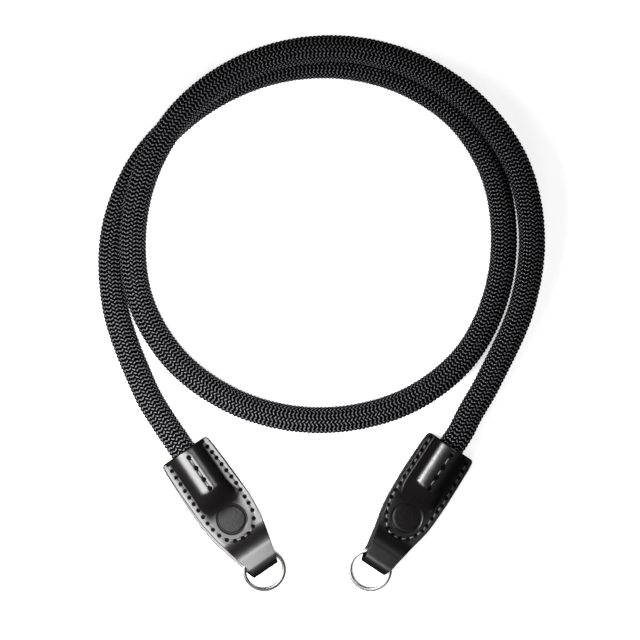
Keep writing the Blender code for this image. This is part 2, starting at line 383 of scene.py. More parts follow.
def set_world():
    """A white backdrop that hardly lights the strap, so its black keeps deep."""
    world = bpy.data.worlds.new("studio")
    world.use_nodes = True
    tree = world.node_tree
    dim = tree.nodes["Background"]
    dim.inputs["Color"].default_value = (1.0, 1.0, 1.0, 1.0)
    dim.inputs["Strength"].default_value = ROOM_LIGHT
    backdrop = tree.nodes.new("ShaderNodeBackground")
    backdrop.inputs["Color"].default_value = (1.0, 1.0, 1.0, 1.0)
    seen = tree.nodes.new("ShaderNodeLightPath")
    blend = tree.nodes.new("ShaderNodeMixShader")
    tree.links.new(seen.outputs["Is Camera Ray"], blend.inputs["Fac"])
    tree.links.new(dim.outputs["Background"], blend.inputs[1])
    tree.links.new(backdrop.outputs["Background"], blend.inputs[2])
    tree.links.new(blend.outputs["Shader"], tree.nodes["World Output"].inputs["Surface"])
    bpy.context.scene.world = world


def set_lights():
    for light in LIGHTS:
        add_softbox(*light)
    set_world()
    scene = bpy.context.scene
    scene.view_settings.view_transform = "Standard"
    scene.view_settings.look = "None"


def make_floor():
    """White paper that glows for the camera alone, so that shadows on it are faint."""
    bpy.ops.mesh.primitive_plane_add(size=FLOOR_SIZE, location=(0.0, 0.0, FLOOR_LEVEL))
    floor = named("floor")
    material, tree, shader = start_material("white paper", (0.94, 0.94, 0.94), 0.9)
    shader.inputs["Specular IOR Level"].default_value = 0.1
    shader.inputs["Emission Color"].default_value = (1.0, 1.0, 1.0, 1.0)
    seen = tree.nodes.new("ShaderNodeLightPath")
    lift = tree.nodes.new("ShaderNodeMath")
    lift.operation = "MULTIPLY"
    lift.inputs[1].default_value = FLOOR_LIFT
    tree.links.new(seen.outputs["Is Camera Ray"], lift.inputs[0])
    tree.links.new(lift.outputs["Value"], shader.inputs["Emission Strength"])
    floor.data.materials.append(material)


# Materials


def new_group(name, inputs, outputs):
    group = bpy.data.node_groups.new(name, "ShaderNodeTree")
    for label, kind, value in inputs:
        socket = group.interface.new_socket(label, in_out="INPUT", socket_type=kind)
        socket.default_value = value
    for label, kind in outputs:
        group.interface.new_socket(label, in_out="OUTPUT", socket_type=kind)
    return group, group.nodes.new("NodeGroupInput"), group.nodes.new("NodeGroupOutput")


def uneven_finish_group():
    """A slow and a fine noise together, as a value about 0.5 over the surface."""
    group, start, end = new_group(
        "uneven finish",
        (("Vector", "NodeSocketVector", (0.0, 0.0, 0.0)), ("Scale", "NodeSocketFloat", 200.0)),
        (("Value", "NodeSocketFloat"),),
    )
    slow = group.nodes.new("ShaderNodeTexNoise")
    fine = group.nodes.new("ShaderNodeTexNoise")
    faster = group.nodes.new("ShaderNodeMath")
    faster.operation = "MULTIPLY"
    faster.inputs[1].default_value = 6.0
    blend = group.nodes.new("ShaderNodeMix")
    blend.inputs["Factor"].default_value = 0.35
    group.links.new(start.outputs["Vector"], slow.inputs["Vector"])
    group.links.new(start.outputs["Vector"], fine.inputs["Vector"])
    group.links.new(start.outputs["Scale"], slow.inputs["Scale"])
    group.links.new(start.outputs["Scale"], faster.inputs[0])
    group.links.new(faster.outputs["Value"], fine.inputs["Scale"])
    group.links.new(slow.outputs["Fac"], blend.inputs["A"])
    group.links.new(fine.outputs["Fac"], blend.inputs["B"])
    group.links.new(blend.outputs["Result"], end.inputs["Value"])
    return group


def start_material(name, colour, roughness, metallic=0.0):
    material = bpy.data.materials.new(name)
    material.use_nodes = True
    tree = material.node_tree
    shader = tree.nodes["Principled BSDF"]
    shader.inputs["Base Color"].default_value = (*colour, 1.0)
    shader.inputs["Roughness"].default_value = roughness
    shader.inputs["Metallic"].default_value = metallic
    return material, tree, shader


def object_place(tree):
    return tree.nodes.new("ShaderNodeTexCoord").outputs["Object"]


def mapped(tree, value, low, high):
    """A value of 0.3 to 0.7 spread from low to high."""
    node = tree.nodes.new("ShaderNodeMapRange")
    node.inputs["From Min"].default_value = 0.3
    node.inputs["From Max"].default_value = 0.7
    node.inputs["To Min"].default_value = low
    node.inputs["To Max"].default_value = high
    tree.links.new(value, node.inputs["Value"])
    return node.outputs["Result"]


def uneven(tree, group, scale):
    node = tree.nodes.new("ShaderNodeGroup")
    node.node_tree = group
    node.inputs["Scale"].default_value = scale
    tree.links.new(object_place(tree), node.inputs["Vector"])
    return node.outputs["Value"]


def two_tone(tree, value, dark, light):
    node = tree.nodes.new("ShaderNodeMix")
    node.data_type = "RGBA"
    node.inputs["A"].default_value = (*dark, 1.0)
    node.inputs["B"].default_value = (*light, 1.0)
    tree.links.new(value, node.inputs["Factor"])
    return node.outputs["Result"]


def bump(tree, height, depth, before=None):
    node = tree.nodes.new("ShaderNodeBump")
    node.inputs["Distance"].default_value = depth
    tree.links.new(height, node.inputs["Height"])
    if before is not None:
        tree.links.new(before, node.inputs["Normal"])
    return node.outputs["Normal"]


def strand_material(group):
    """Black polyester filaments, with a highlight painted on a strand's back, where its coat lies too, and
    shade painted between strands.
    """
    material, tree, shader = start_material("braided polyester", (0.012, 0.012, 0.014), 0.60)
    uv = tree.nodes.new("ShaderNodeTexCoord").outputs["UV"]
    across = tree.nodes.new("ShaderNodeSeparateXYZ")
    tree.links.new(uv, across.inputs["Vector"])
    # The colour is a painted highlight on a strand's back and painted shade on its sides and ends; the coat
    # lies on the same back
    crest_highlight_and_coat = near_zero(tree, absolute(tree, across.outputs["Y"]), *PAINTED_CREST_WIDTH)
    reach = near_zero(tree, absolute(tree, across.outputs["X"]), *PAINTED_CREST_LENGTH)
    crest_highlight_and_coat = product(tree, crest_highlight_and_coat, reach)
    tone = uneven(tree, group, 700.0)
    painted_highlight_tone = two_tone(tree, tone, *STRAND_HIGHLIGHT_TONES)
    colour = tree.nodes.new("ShaderNodeMix")
    colour.data_type = "RGBA"
    colour.inputs["A"].default_value = (*STRAND_PAINTED_SHADE, 1.0)
    tree.links.new(crest_highlight_and_coat, colour.inputs["Factor"])
    tree.links.new(painted_highlight_tone, colour.inputs["B"])
    tree.links.new(colour.outputs["Result"], shader.inputs["Base Color"])
    filaments = tree.nodes.new("ShaderNodeTexWave")
    filaments.bands_direction = "Y"
    filaments.inputs["Scale"].default_value = 3.2
    filaments.inputs["Distortion"].default_value = 1.2
    filaments.inputs["Detail Scale"].default_value = 1.5
    tree.links.new(uv, filaments.inputs["Vector"])
    fibres = bump(tree, filaments.outputs["Fac"], 0.00002)
    tree.links.new(fibres, shader.inputs["Normal"])
    tree.links.new(crest_highlight_and_coat, shader.inputs["Coat Weight"])
    shader.inputs["Specular IOR Level"].default_value = 0.0
    shader.inputs["Coat Roughness"].default_value = 0.32
    shader.inputs["Coat IOR"].default_value = 1.40
    return material


def core_and_gap_shade_material(group):
    # The rope's core, near black with no shine and far darker than the strands: painted shade where it
    # shows between the floats
    material, tree, shader = start_material("rope core", (0.0008, 0.0008, 0.0008), 0.9)
    tone = uneven(tree, group, 900.0)
    tree.links.new(mapped(tree, tone, 0.7, 0.9), shader.inputs["Roughness"])
    shader.inputs["Specular IOR Level"].default_value = 0.0
    return material


def read_attribute(tree, name):
    node = tree.nodes.new("ShaderNodeAttribute")
    node.attribute_name = name
    return node.outputs["Fac"]


def near_zero(tree, value, inner, outer):
    """1 up to the inner value and 0 from the outer one."""
    node = tree.nodes.new("ShaderNodeMapRange")
    node.interpolation_type = "SMOOTHSTEP"
    node.inputs["From Min"].default_value = inner
    node.inputs["From Max"].default_value = outer
    node.inputs["To Min"].default_value = 1.0
    node.inputs["To Max"].default_value = 0.0
    tree.links.new(value, node.inputs["Value"])
    return node.outputs["Result"]


def faded(tree, value, mask, target):
    """The value, drawn towards the target where the mask is 1."""
    node = tree.nodes.new("ShaderNodeMix")
    node.inputs["B"].default_value = target
    tree.links.new(mask, node.inputs["Factor"])
    tree.links.new(value, node.inputs["A"])
    return node.outputs["Result"]


def absolute(tree, value):
    node = tree.nodes.new("ShaderNodeMath")
    node.operation = "ABSOLUTE"
    tree.links.new(value, node.inputs[0])
    return node.outputs["Value"]


def product(tree, one, other):
    node = tree.nodes.new("ShaderNodeMath")
    node.operation = "MULTIPLY"
    tree.links.new(one, node.inputs[0])
    tree.links.new(other, node.inputs[1])
    return node.outputs["Value"]


def leather_material(group):
    """Polished black leather: glossy on level faces, and dull on slopes, in creases and at holes."""
    material, tree, shader = start_material("black leather", (0.010, 0.010, 0.011), 0.30)
    tone = uneven(tree, group, 120.0)
    hole = near_zero(tree, read_attribute(tree, "hole_distance"), *HOLE_FADE)
    colour = two_tone(tree, tone, *LEATHER_TONES)
    tree.links.new(colour, shader.inputs["Base Color"])
    roughness = mapped(tree, tone, 0.30, 0.42)
    tree.links.new(faded(tree, roughness, hole, 0.9), shader.inputs["Roughness"])
    grain = tree.nodes.new("ShaderNodeTexVoronoi")
    grain.feature = "SMOOTH_F1"
    grain.inputs["Scale"].default_value = GRAIN[0]
    tree.links.new(object_place(tree), grain.inputs["Vector"])
    fine = bump(tree, grain.outputs["Distance"], GRAIN[1])
    slow = tree.nodes.new("ShaderNodeTexNoise")
    slow.inputs["Scale"].default_value = WAVES[0]
    slow.inputs["Detail"].default_value = 3.0
    tree.links.new(object_place(tree), slow.inputs["Vector"])
    waves = bump(tree, slow.outputs["Fac"], WAVES[1], fine)
    pebbles = tree.nodes.new("ShaderNodeTexVoronoi")
    pebbles.feature = "SMOOTH_F1"
    pebbles.inputs["Scale"].default_value = PEBBLES[0]
    tree.links.new(object_place(tree), pebbles.inputs["Vector"])
    ground = product(tree, pebbles.outputs["Distance"], read_attribute(tree, "disc"))
    surface = bump(tree, ground, PEBBLES[1], waves)
    tree.links.new(surface, shader.inputs["Normal"])
    tree.links.new(surface, shader.inputs["Coat Normal"])
    gloss = faded(tree, read_attribute(tree, "gloss"), hole, 0.0)
    tree.links.new(gloss, shader.inputs["Coat Weight"])
    shader.inputs["Specular IOR Level"].default_value = 0.0
    shader.inputs["Coat Roughness"].default_value = 0.29
    shader.inputs["Coat IOR"].default_value = 1.60
    return material


def thread_material(group):
    """Waxed black thread with its twist."""
    material, tree, shader = start_material("waxed thread", (0.045, 0.045, 0.047), 0.40)
    tone = uneven(tree, group, 1500.0)
    tree.links.new(mapped(tree, tone, 0.25, 0.45), shader.inputs["Roughness"])
    twist = tree.nodes.new("ShaderNodeTexWave")
    twist.bands_direction = "DIAGONAL"
    twist.inputs["Scale"].default_value = 900.0
    tree.links.new(object_place(tree), twist.inputs["Vector"])
    tree.links.new(bump(tree, twist.outputs["Fac"], 0.00004), shader.inputs["Normal"])
    return material


def hole_shade_material(group):
    # Near black with no shine: painted shade for the depth of a stitch hole
    material, tree, shader = start_material("stitch hole", (0.002, 0.002, 0.002), 0.9)
    tone = uneven(tree, group, 900.0)
    tree.links.new(mapped(tree, tone, 0.8, 1.0), shader.inputs["Roughness"])
    shader.inputs["Specular IOR Level"].default_value = 0.0
    return material


def steel_material(group):
    """Nickel-plated spring steel with faint rubbing."""
    material, tree, shader = start_material("polished steel", (0.21, 0.21, 0.205), 0.25, 1.0)
    tone = uneven(tree, group, 400.0)
    tree.links.new(mapped(tree, tone, 0.22, 0.27), shader.inputs["Roughness"])
    return material


# Rope


def smooth_route(points, steps=24):
    """A Catmull-Rom curve through the points, as an array of close points."""
    guides = np.array(points)
    ahead = 2 * guides[0] - guides[1]
    behind = 2 * guides[-1] - guides[-2]
    guides = np.vstack([ahead, guides, behind])
    curve = []
    for p0, p1, p2, p3 in zip(guides, guides[1:], guides[2:], guides[3:]):
        for step in range(steps):
            t = step / steps
            curve.append(
                0.5
                * (
                    2 * p1
                    + (p2 - p0) * t
                    + (2 * p0 - 5 * p1 + 4 * p2 - p3) * t**2
                    + (3 * p1 - p0 - 3 * p2 + p3) * t**3
                )
            )
    curve.append(guides[-2])
    return np.array(curve)


def distances(line):
    return np.concatenate([[0.0], np.cumsum(np.linalg.norm(np.diff(line, axis=0), axis=1))])


def even_points(curve, count):
    """count points spaced evenly along the curve."""
    travelled = distances(curve)
    stops = np.linspace(0.0, travelled[-1], count)
    return np.column_stack([np.interp(stops, travelled, curve[:, axis]) for axis in range(3)])


def read_along(values, travelled, stops):
    """Rows of values at the stops along the rope."""
    return np.stack([np.interp(stops, travelled, values[:, axis]) for axis in range(3)], axis=-1)


def rope_line():
    """The rope's centreline, the distance along it, and the two directions square to it."""
    line = even_points(smooth_route(ROPE_ROUTE), LINE_POINTS)
    forward = np.gradient(line, axis=0)
    forward /= np.linalg.norm(forward, axis=1)[:, None]
    up = np.array([0.0, 0.0, 1.0]) - forward * forward[:, 2:]
    up /= np.linalg.norm(up, axis=1)[:, None]
    return line, distances(line), up, np.cross(forward, up)


def make_core(line, material):
    data = bpy.data.curves.new("rope_core", "CURVE")
    data.dimensions = "3D"
    data.bevel_depth = CORE_RADIUS
    data.bevel_resolution = 4
    data.use_fill_caps = True
    spline = data.splines.new("POLY")
    stops = line[:: LINE_POINTS // CORE_POINTS]
    stops = np.vstack([stops, line[-1]])
    spline.points.add(len(stops) - 1)
    for point, place in zip(spline.points, stops):
        point.co = (*place, 1.0)
    core = bpy.data.objects.new("rope_core", data)
    bpy.context.scene.collection.objects.link(core)
    give(core, material)
    return core


def strand_shape():
    """One float of a strand: stations along it, and at each its dip, half width and half height."""
    along = np.array([-1.25, -0.85, -0.35, 0.35, 0.85, 1.25])
    dip = np.array([0.70, 0.17, 0.02, 0.02, 0.17, 0.70]) * MM
    width = np.array([0.0, 0.80, 1.0, 1.0, 0.80, 0.0]) * STRAND_HALF_WIDTH
    height = np.array([0.0, 0.90, 1.0, 1.0, 0.90, 0.0]) * STRAND_HALF_HEIGHT
    return along, dip, width, height


def strand_faces():
    """The faces of one float, as rings of six points between two tips."""
    faces = [(0, 1 + (step + 1) % 6, 1 + step) for step in range(6)]
    quads = []
    for ring in range(3):
        first = 1 + ring * 6
        for step in range(6):
            following = (step + 1) % 6
            quads.append((first + step, first + following, first + 6 + following, first + 6 + step))
    last = 1 + 3 * 6
    faces += [(last + step, last + (step + 1) % 6, last + 6) for step in range(6)]
    return faces, quads


def strand_points(line, travelled, up, across, start, rib, rng):
    """All the points of the floats that start at the given distances, on the given ribs."""
    rib_angle = 2 * math.pi / RIBS
    rib_width = rib_angle * ROPE_RADIUS
    slant = np.where(rib % 2 == 0, 1.0, -1.0)
    rise_along = STRAND_RISE * ROW_PITCH
    reach = math.hypot(rib_width, rise_along)
    along, dip, width, height = strand_shape()
    section = np.radians([0.0, 45.0, 90.0, 135.0, 180.0, 270.0])
    stations = [(0, 0)] + [(k, s) for k in range(1, 5) for s in range(6)] + [(5, 0)]
    count = len(start)
    jitter = rng.normal(0.0, 1.0, (4, count)) * np.array(STRAND_SPREAD)[:, None]
    points = np.empty((count, len(stations), 3))
    uv = np.empty((count, len(stations), 2))
    for number, (k, s) in enumerate(stations):
        off = width[k] * math.cos(section[s]) * (1 + jitter[0])
        rise = height[k] * math.sin(section[s])
        t = along[k] * reach / 2
        round_way = (t * rib_width - off * slant * rise_along) / reach + jitter[1]
        long_way = (t * slant * rise_along + off * rib_width) / reach + jitter[2]
        radius = ROPE_RADIUS - STRAND_HALF_HEIGHT - dip[k] + rise + jitter[3]
        angle = (rib + 0.5) * rib_angle + round_way / ROPE_RADIUS
        stops = start + long_way
        middle = read_along(line, travelled, stops)
        way_up = read_along(up, travelled, stops)
        way_across = read_along(across, travelled, stops)
        points[:, number] = (
            middle
            + (radius * np.cos(angle))[:, None] * way_up
            + (radius * np.sin(angle))[:, None] * way_across
        )
        uv[:, number, 0] = t / MM
        uv[:, number, 1] = off / MM
    return points.reshape(-1, 3), uv.reshape(-1, 2)


def mesh_from(name, points, faces, uv, material):
    mesh = bpy.data.meshes.new(name)
    mesh.from_pydata(points, [], faces)
    layer = mesh.uv_layers.new(name="UVMap")
    corners = np.empty(len(mesh.loops), dtype=np.int32)
    mesh.loops.foreach_get("vertex_index", corners)
    layer.data.foreach_set("uv", uv[corners].ravel())
    mesh.shade_smooth()
    piece = bpy.data.objects.new(name, mesh)
    bpy.context.scene.collection.objects.link(piece)
    give(piece, material)
    return piece


def make_braid(line, travelled, up, across, material):
    """The floats of the braid, row by row, in four pieces."""
    rng = np.random.default_rng(11)
    rows = int((travelled[-1] - 2 * BRAID_START) / ROW_PITCH)
    row, rib = np.meshgrid(np.arange(rows), np.arange(RIBS), indexing="ij")
    triangles, quads = strand_faces()
    per_float = 2 + 4 * 6
    pieces = []
    for number, name in enumerate(BRAID_PARTS):
        chosen = (row * len(BRAID_PARTS) // rows) == number
        ribs = rib[chosen]
        stagger = ROW_STAGGER * (ribs % 2) + BREAK_STAGGER * (ribs % BROKEN_RIB == BROKEN_RIB - 1)
        start = BRAID_START + (row[chosen] + stagger) * ROW_PITCH
        points, uv = strand_points(line, travelled, up, across, start, ribs, rng)
        first = (np.arange(len(start)) * per_float)[:, None, None]
        faces = (first + np.array(triangles)).reshape(-1, 3).tolist()
        faces += (first + np.array(quads)).reshape(-1, 4).tolist()
        pieces.append(mesh_from(name, points, faces, uv, material))
    return pieces


def make_rope(materials):
    line, travelled, up, across = rope_line()
    core = make_core(line, materials["core"])
    braid = make_braid(line, travelled, up, across, materials["strand"])
    for piece in (core, *braid):
        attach(piece, "strap")
    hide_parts("rope")


# Leather tabs


def half_section():
    """Half of the front panel's section over the rope, from its top to the margin's inner end."""
    turn = math.asin((ROPE_HEIGHT - FILLET_HEIGHT) / (BULGE_RADIUS + FILLET))
    top = np.linspace(math.pi / 2, -turn, 60)
    foot = np.linspace(math.pi - turn, math.radians(270.0), 30)
    side = np.concatenate([BULGE_RADIUS * np.cos(top), FILLET_REACH + FILLET * np.cos(foot)])
    rise = np.concatenate(
        [ROPE_HEIGHT + BULGE_RADIUS * np.sin(top), FILLET_HEIGHT + FILLET * np.sin(foot)]
    )
    return np.column_stack([side, rise - FRONT_HEIGHT])


def half_width(end, along):
    """The tab's half width at distances from its mouth, with the mouth's corners rounded."""
    half = TAB_HALF * np.interp(along / TAB_LENGTH, OUTLINE_SHARES, end["widths"])
    corner = np.clip(CORNER - along, 0.0, CORNER)
    return half - (CORNER - np.sqrt(CORNER**2 - corner**2))


def edge_steps():
    """Distances from a cut edge at which the leather's rounded edge is drawn."""
    return np.array([0.0, 0.06, 0.2, 0.45, 0.75, 1.0]) * EDGE_ROUND


def hump(along):
    """1 over the rope and 0 past its end, sloping over a little more length than the solid does."""
    return 1 - ease((along - BULGE_END + BULGE_SOFTER) / (BULGE_RUN + 2 * BULGE_SOFTER))


def neck_climb(along):
    """0 before the neck and 1 on its top, bending over a little more length than the solid does."""
    return ease((along - NECK_START + NECK_SOFTER) / (NECK_RUN + 2 * NECK_SOFTER))


def strip_rows(end):
    """The strip's rows from the back panel's mouth round the fold to the front panel's mouth.

    Each row is its distance along the tab, height, shift to the side, bulge, and panel: 0 back, 1 front."""
    back = np.concatenate([edge_steps(), np.arange(2 * EDGE_ROUND, FOLD_MIDDLE, BACK_STEP)])
    front = np.concatenate([edge_steps(), np.arange(2 * EDGE_ROUND, FOLD_MIDDLE, FINE_STEP)])[::-1]
    turn = np.radians(np.arange(-90.0, 90.1, 9.0))
    back_shift, front_shift = np.array(end["back_shift"]), np.array(end["front_shift"])

    def shift_at(pair, along):
        return pair[0] + (pair[1] - pair[0]) * ease(along / NECK_END)

    fold_top = BACK_HEIGHT + 2 * FOLD_RADIUS
    climb = neck_climb(front)
    return {
        "along": np.concatenate([back, FOLD_MIDDLE + FOLD_RADIUS * np.cos(turn), front]),
        "height": np.concatenate(
            [
                np.full(len(back), BACK_HEIGHT),
                BACK_HEIGHT + FOLD_RADIUS * (1 + np.sin(turn)),
                FRONT_HEIGHT + (fold_top - FRONT_HEIGHT) * climb,
            ]
        ),
        "shift": np.concatenate(
            [
                shift_at(back_shift, back),
                np.linspace(back_shift[1], front_shift[1], len(turn)),
                shift_at(front_shift, front),
            ]
        ),
        "bulge": np.concatenate([np.zeros(len(back) + len(turn)), hump(front)]),
        "panel": np.concatenate([np.zeros(len(back)), np.full(len(turn), 0.5), np.ones(len(front))]),
    }


def strip_middle(end, rows):
    """The leather's middle surface as arrays of along, side and height, and each point's edge distance."""
    half = half_section()
    length = distances(half)
    whole = length[-1] + MARGIN
    flat_share = length[-1] / whole
    inner = np.arange(0.0, whole - EDGE_ROUND, FINE_STEP)
    spaced = np.concatenate([inner, whole - edge_steps()[::-1]])
    reach = np.concatenate([-spaced[:0:-1], spaced]) / whole
    side = np.sign(reach)
    share = np.abs(reach)[None, :]
    bulge = rows["bulge"][:, None]
    width = half_width(end, rows["along"])[:, None]
    shift = rows["shift"][:, None]
    over_rope = np.interp(share * whole, length, half[:, 0])
    rise = np.interp(share * whole, length, half[:, 1])
    moulded = (side * share * width + shift) * (1 - bulge) + side * over_rope * bulge
    foot = (side * flat_share * width + shift) * (1 - bulge) + side * half[-1, 0] * bulge
    edge = side * width + shift
    margin = foot + (edge - foot) * (share - flat_share) / (1 - flat_share)
    sides = np.where(share <= flat_share, moulded, margin)
    heights = rows["height"][:, None] + rise * bulge
    along = np.broadcast_to(rows["along"][:, None], sides.shape)
    from_side = (1 - share) * whole * np.ones_like(sides)
    from_mouth = np.where(rows["panel"][:, None] == 0.5, 1.0, along)
    return along, sides, heights, np.minimum(from_side, from_mouth)


def normals_of(grid):
    """Unit normals of a grid of points."""
    down = np.gradient(grid, axis=0)
    right = np.gradient(grid, axis=1)
    normal = np.cross(down, right)
    return normal / np.maximum(np.linalg.norm(normal, axis=2), 1e-12)[:, :, None]


def near_path(along, side, path):
    """Distance of each point from a line through the holes, all in mm."""
    best = np.full(along.shape, 1e9)
    for (a0, s0), (a1, s1) in zip(path, path[1:]):
        way = np.array([a1 - a0, s1 - s0])
        t = ((along - a0) * way[0] + (side - s0) * way[1]) / (way @ way)
        t = np.clip(t, 0.0, 1.0)
        best = np.minimum(best, np.hypot(along - a0 - t * way[0], side - s0 - t * way[1]))
    return best


def hollow(away, depth, reach):
    """Depth of a rounded hollow at a distance from its middle."""
    return depth * np.exp(-((away / reach) ** 2))


def groove_path(end):
    return [(hole, end["groove_side"]) for hole in end["groove_holes"]]


def pressed(end, along, side, panel):
    """How deep the leather's outer face is pressed, in metres: stitch line, holes, groove and mark."""
    a, s = along / MM, side / MM
    depth = hollow(near_path(a, s, end["edge_holes"]), *STITCH_LINE)
    for hole in end["edge_holes"]:
        depth = np.maximum(depth, hollow(np.hypot(a - hole[0], s - hole[1]), *STITCH_PIT))
    front = (panel == 1.0)[:, None]
    holes = groove_path(end)
    groove = hollow(near_path(a, s, holes), *GROOVE)
    for hole in holes:
        groove = np.maximum(groove, hollow(np.hypot(a - hole[0], s - hole[1]), *GROOVE_PIT))
    away = np.hypot(a - end["mark"][0], s - end["mark"][1])
    mark = DISC_DEPTH * ease((MARK_EDGE - away) / DISC_STEP)
    mark = mark - DISC_DOME * np.clip(1 - (away / MARK_LINE) ** 2, 0.0, 1.0)
    from_line = away - (MARK_EDGE + MARK_LINE) / 2
    mark = mark + MARK_DEPTH * np.exp(-((from_line / LINE_HALF_WIDTH) ** 4))
    depth = depth + np.where(front, groove + mark, 0.0)
    return depth * MM


def places_in_tab(tab, end):
    """The tab's points in its own frame: along and side in mm, and height in metres."""
    places = np.empty(len(tab.data.vertices) * 3)
    tab.data.vertices.foreach_get("co", places)
    places = places.reshape(-1, 3)
    turn = math.radians(end["heading"])
    x, y = places[:, 0] - end["mouth"][0], places[:, 1] - end["mouth"][1]
    along = (x * math.cos(turn) + y * math.sin(turn)) / MM
    side = (y * math.cos(turn) - x * math.sin(turn)) / MM
    return along, side, places[:, 2]


def from_holes(end, along, side):
    """Distance from a stitch hole in mm, or from the groove or the stitch line with its own value added."""
    groove = groove_path(end)
    holes = list(end["edge_holes"]) + groove
    nearest = np.min([np.hypot(along - a, side - s) for a, s in holes], axis=0)
    nearest = np.minimum(nearest, near_path(along, side, groove) + GROOVE_BRIGHTER)
    return np.minimum(nearest, near_path(along, side, end["edge_holes"]) + CHANNEL_BRIGHTER)


def front_gloss(along, side, high):
    """Share of gloss on the front: less between the rows of stitches, and none on the slope of the hump."""
    inside = (1 - ease((np.abs(side) - INSIDE_HALF) / INSIDE_FADE)) * (1 - high)
    on_neck = ease((along - NECK_START / MM) / INSIDE_FADE)
    duller = (1 - INSIDE_DULLER * inside) * (1 - on_neck) + NECK_GLOSS * on_neck
    past_side = np.maximum(np.abs(side) - SLOPE_HALF, 0.0)
    past_end = np.maximum(along - SLOPE_END, 0.0)
    off_slope = ease(np.hypot(past_side, past_end) / SLOPE_FADE)
    up_slope = high * (1 - ease((along - SHOULDER) / SHOULDER_FADE))
    up_slope = np.maximum(up_slope, along > NECK_START / MM)
    return duller * np.maximum(off_slope, up_slope)


def leave_values(tab, end):
    """Point values for the material: distance from a hole in mm, gloss, and 1 on the grained disc."""
    along, side, height = places_in_tab(tab, end)
    above = height > FRONT_HEIGHT
    high = ease((height - FRONT_HEIGHT - LEATHER) / (SHOULDER_FADE * MM))
    level = np.abs(np.array([point.vector.z for point in tab.data.vertex_normals]))
    gloss = ease((level - STEEP) / (LEVEL - STEEP))
    from_mark = np.hypot(along - end["mark"][0], side - end["mark"][1])
    gloss = np.where((from_mark < MARK_EDGE) & above, MARK_GLOSS * gloss, gloss)
    gloss = np.where(above, gloss * front_gloss(along, side, high), gloss)
    disc = ease((GRAINED_RADIUS - from_mark) / GRAINED_FADE) * above
    values = {"hole_distance": from_holes(end, along, side), "gloss": gloss, "disc": disc}
    for name, value in values.items():
        layer = tab.data.attributes.new(name, "FLOAT", "POINT")
        layer.data.foreach_set("value", value)


def shell_grid(name, grid):
    """A grid primitive with its points moved to those of the array."""
    rows, columns = grid.shape[:2]
    bpy.ops.mesh.primitive_grid_add(x_subdivisions=columns - 1, y_subdivisions=rows - 1)
    shell = named(name)
    shell.data.vertices.foreach_set("co", grid.reshape(-1, 3).ravel())
    return shell


def make_tab(name, end, material):
    """The folded strip: an outer and an inner face of leather that meet at its rounded edges."""
    rows = strip_rows(end)
    along, side, height, from_edge = strip_middle(end, rows)
    middle = to_world(end, along, side, height)
    normal = normals_of(middle)
    on_front_panel = len(rows["along"]) * 2 // 3
    if normal[on_front_panel, normal.shape[1] // 2, 2] < 0:
        normal = -normal
    inset = np.clip(EDGE_ROUND - from_edge, 0.0, EDGE_ROUND) / EDGE_ROUND
    thick = (LEATHER / 2) * np.sqrt(1 - inset**2)
    sunk = pressed(end, along, side, rows["panel"]) * (inset < 1)
    outer = middle + normal * (thick - sunk)[:, :, None]
    inner = middle - normal * thick[:, :, None]
    deselect()
    tab = shell_grid(name, outer)
    lining = shell_grid(f"{name}_lining", inner)
    select_only(lining)
    edit_all()
    bpy.ops.mesh.flip_normals()
    bpy.ops.object.mode_set(mode="OBJECT")
    select_only(tab, lining)
    bpy.ops.object.join()
    edit_all()
    bpy.ops.mesh.remove_doubles(threshold=0.000002)
    bpy.ops.mesh.normals_make_consistent(inside=False)
    bpy.ops.object.mode_set(mode="OBJECT")
    tab.data.shade_smooth()
    leave_values(tab, end)
    give(tab, material)
    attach(tab, "strap")
    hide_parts(name.replace("_leather", "_tab"))
    return tab


# Thread


def front_height(end, along, side):
    """Height of the front panel's outer face at a place given in metres."""
    rows = {
        "along": np.array([along]),
        "height": np.array([FRONT_HEIGHT]),
        "shift": np.array([0.0]),
        "bulge": hump(np.array([along])),
        "panel": np.array([1.0]),
    }
    rows["height"] += (BACK_HEIGHT + 2 * FOLD_RADIUS - FRONT_HEIGHT) * neck_climb(along)
    rows["shift"] += end["front_shift"][0]
    rows["shift"] += (end["front_shift"][1] - end["front_shift"][0]) * ease(along / NECK_END)
    _, sides, heights, _ = strip_middle(end, rows)
    return float(np.interp(side, sides[0], heights[0])) + LEATHER / 2


def stitch_prototype(material):
    """One stitch of thread: a ball drawn out along X, flattened, with ends that dip into their holes."""
    upright = (0, math.pi / 2, 0)
    bpy.ops.mesh.primitive_uv_sphere_add(segments=12, ring_count=12, radius=1.0, rotation=upright)
    stitch = named("stitch")
    bpy.ops.object.transform_apply(location=False, rotation=True, scale=False)
    for point in stitch.data.vertices:
        x, y, z = point.co
        full = max(1 - abs(x) ** 5, 0.0) ** 0.5
        ring = math.hypot(y, z) or 1.0
        point.co = (x, y / ring * full, z / ring * full - THREAD_DIP * abs(x) ** 4)
    stitch.data.shade_smooth()
    give(stitch, material)
    return stitch


def moved_copy(prototype, change):
    """A copy of the prototype with its points moved by a matrix."""
    copy = prototype.copy()
    copy.data = prototype.data.copy()
    bpy.context.scene.collection.objects.link(copy)
    copy.data.transform(change)
    return copy


def place_stitch(prototype, start, end, sink, lean):
    """A copy of the stitch between two world points, sunk a little below them."""
    way = Vector(end) - Vector(start)
    turn = Matrix.Rotation(math.atan2(way.y, way.x) + lean, 4, "Z")
    tilt = Matrix.Rotation(-math.atan2(way.z, math.hypot(way.x, way.y)), 4, "Y")
    half_length = way.length * 0.5 * THREAD_SHARE
    size = Matrix.Diagonal((half_length, THREAD_HALF_WIDTH, THREAD_HALF_HEIGHT, 1.0))
    middle = (Vector(start) + Vector(end)) / 2 - Vector((0.0, 0.0, sink))
    return moved_copy(prototype, Matrix.Translation(middle) @ turn @ tilt @ size)


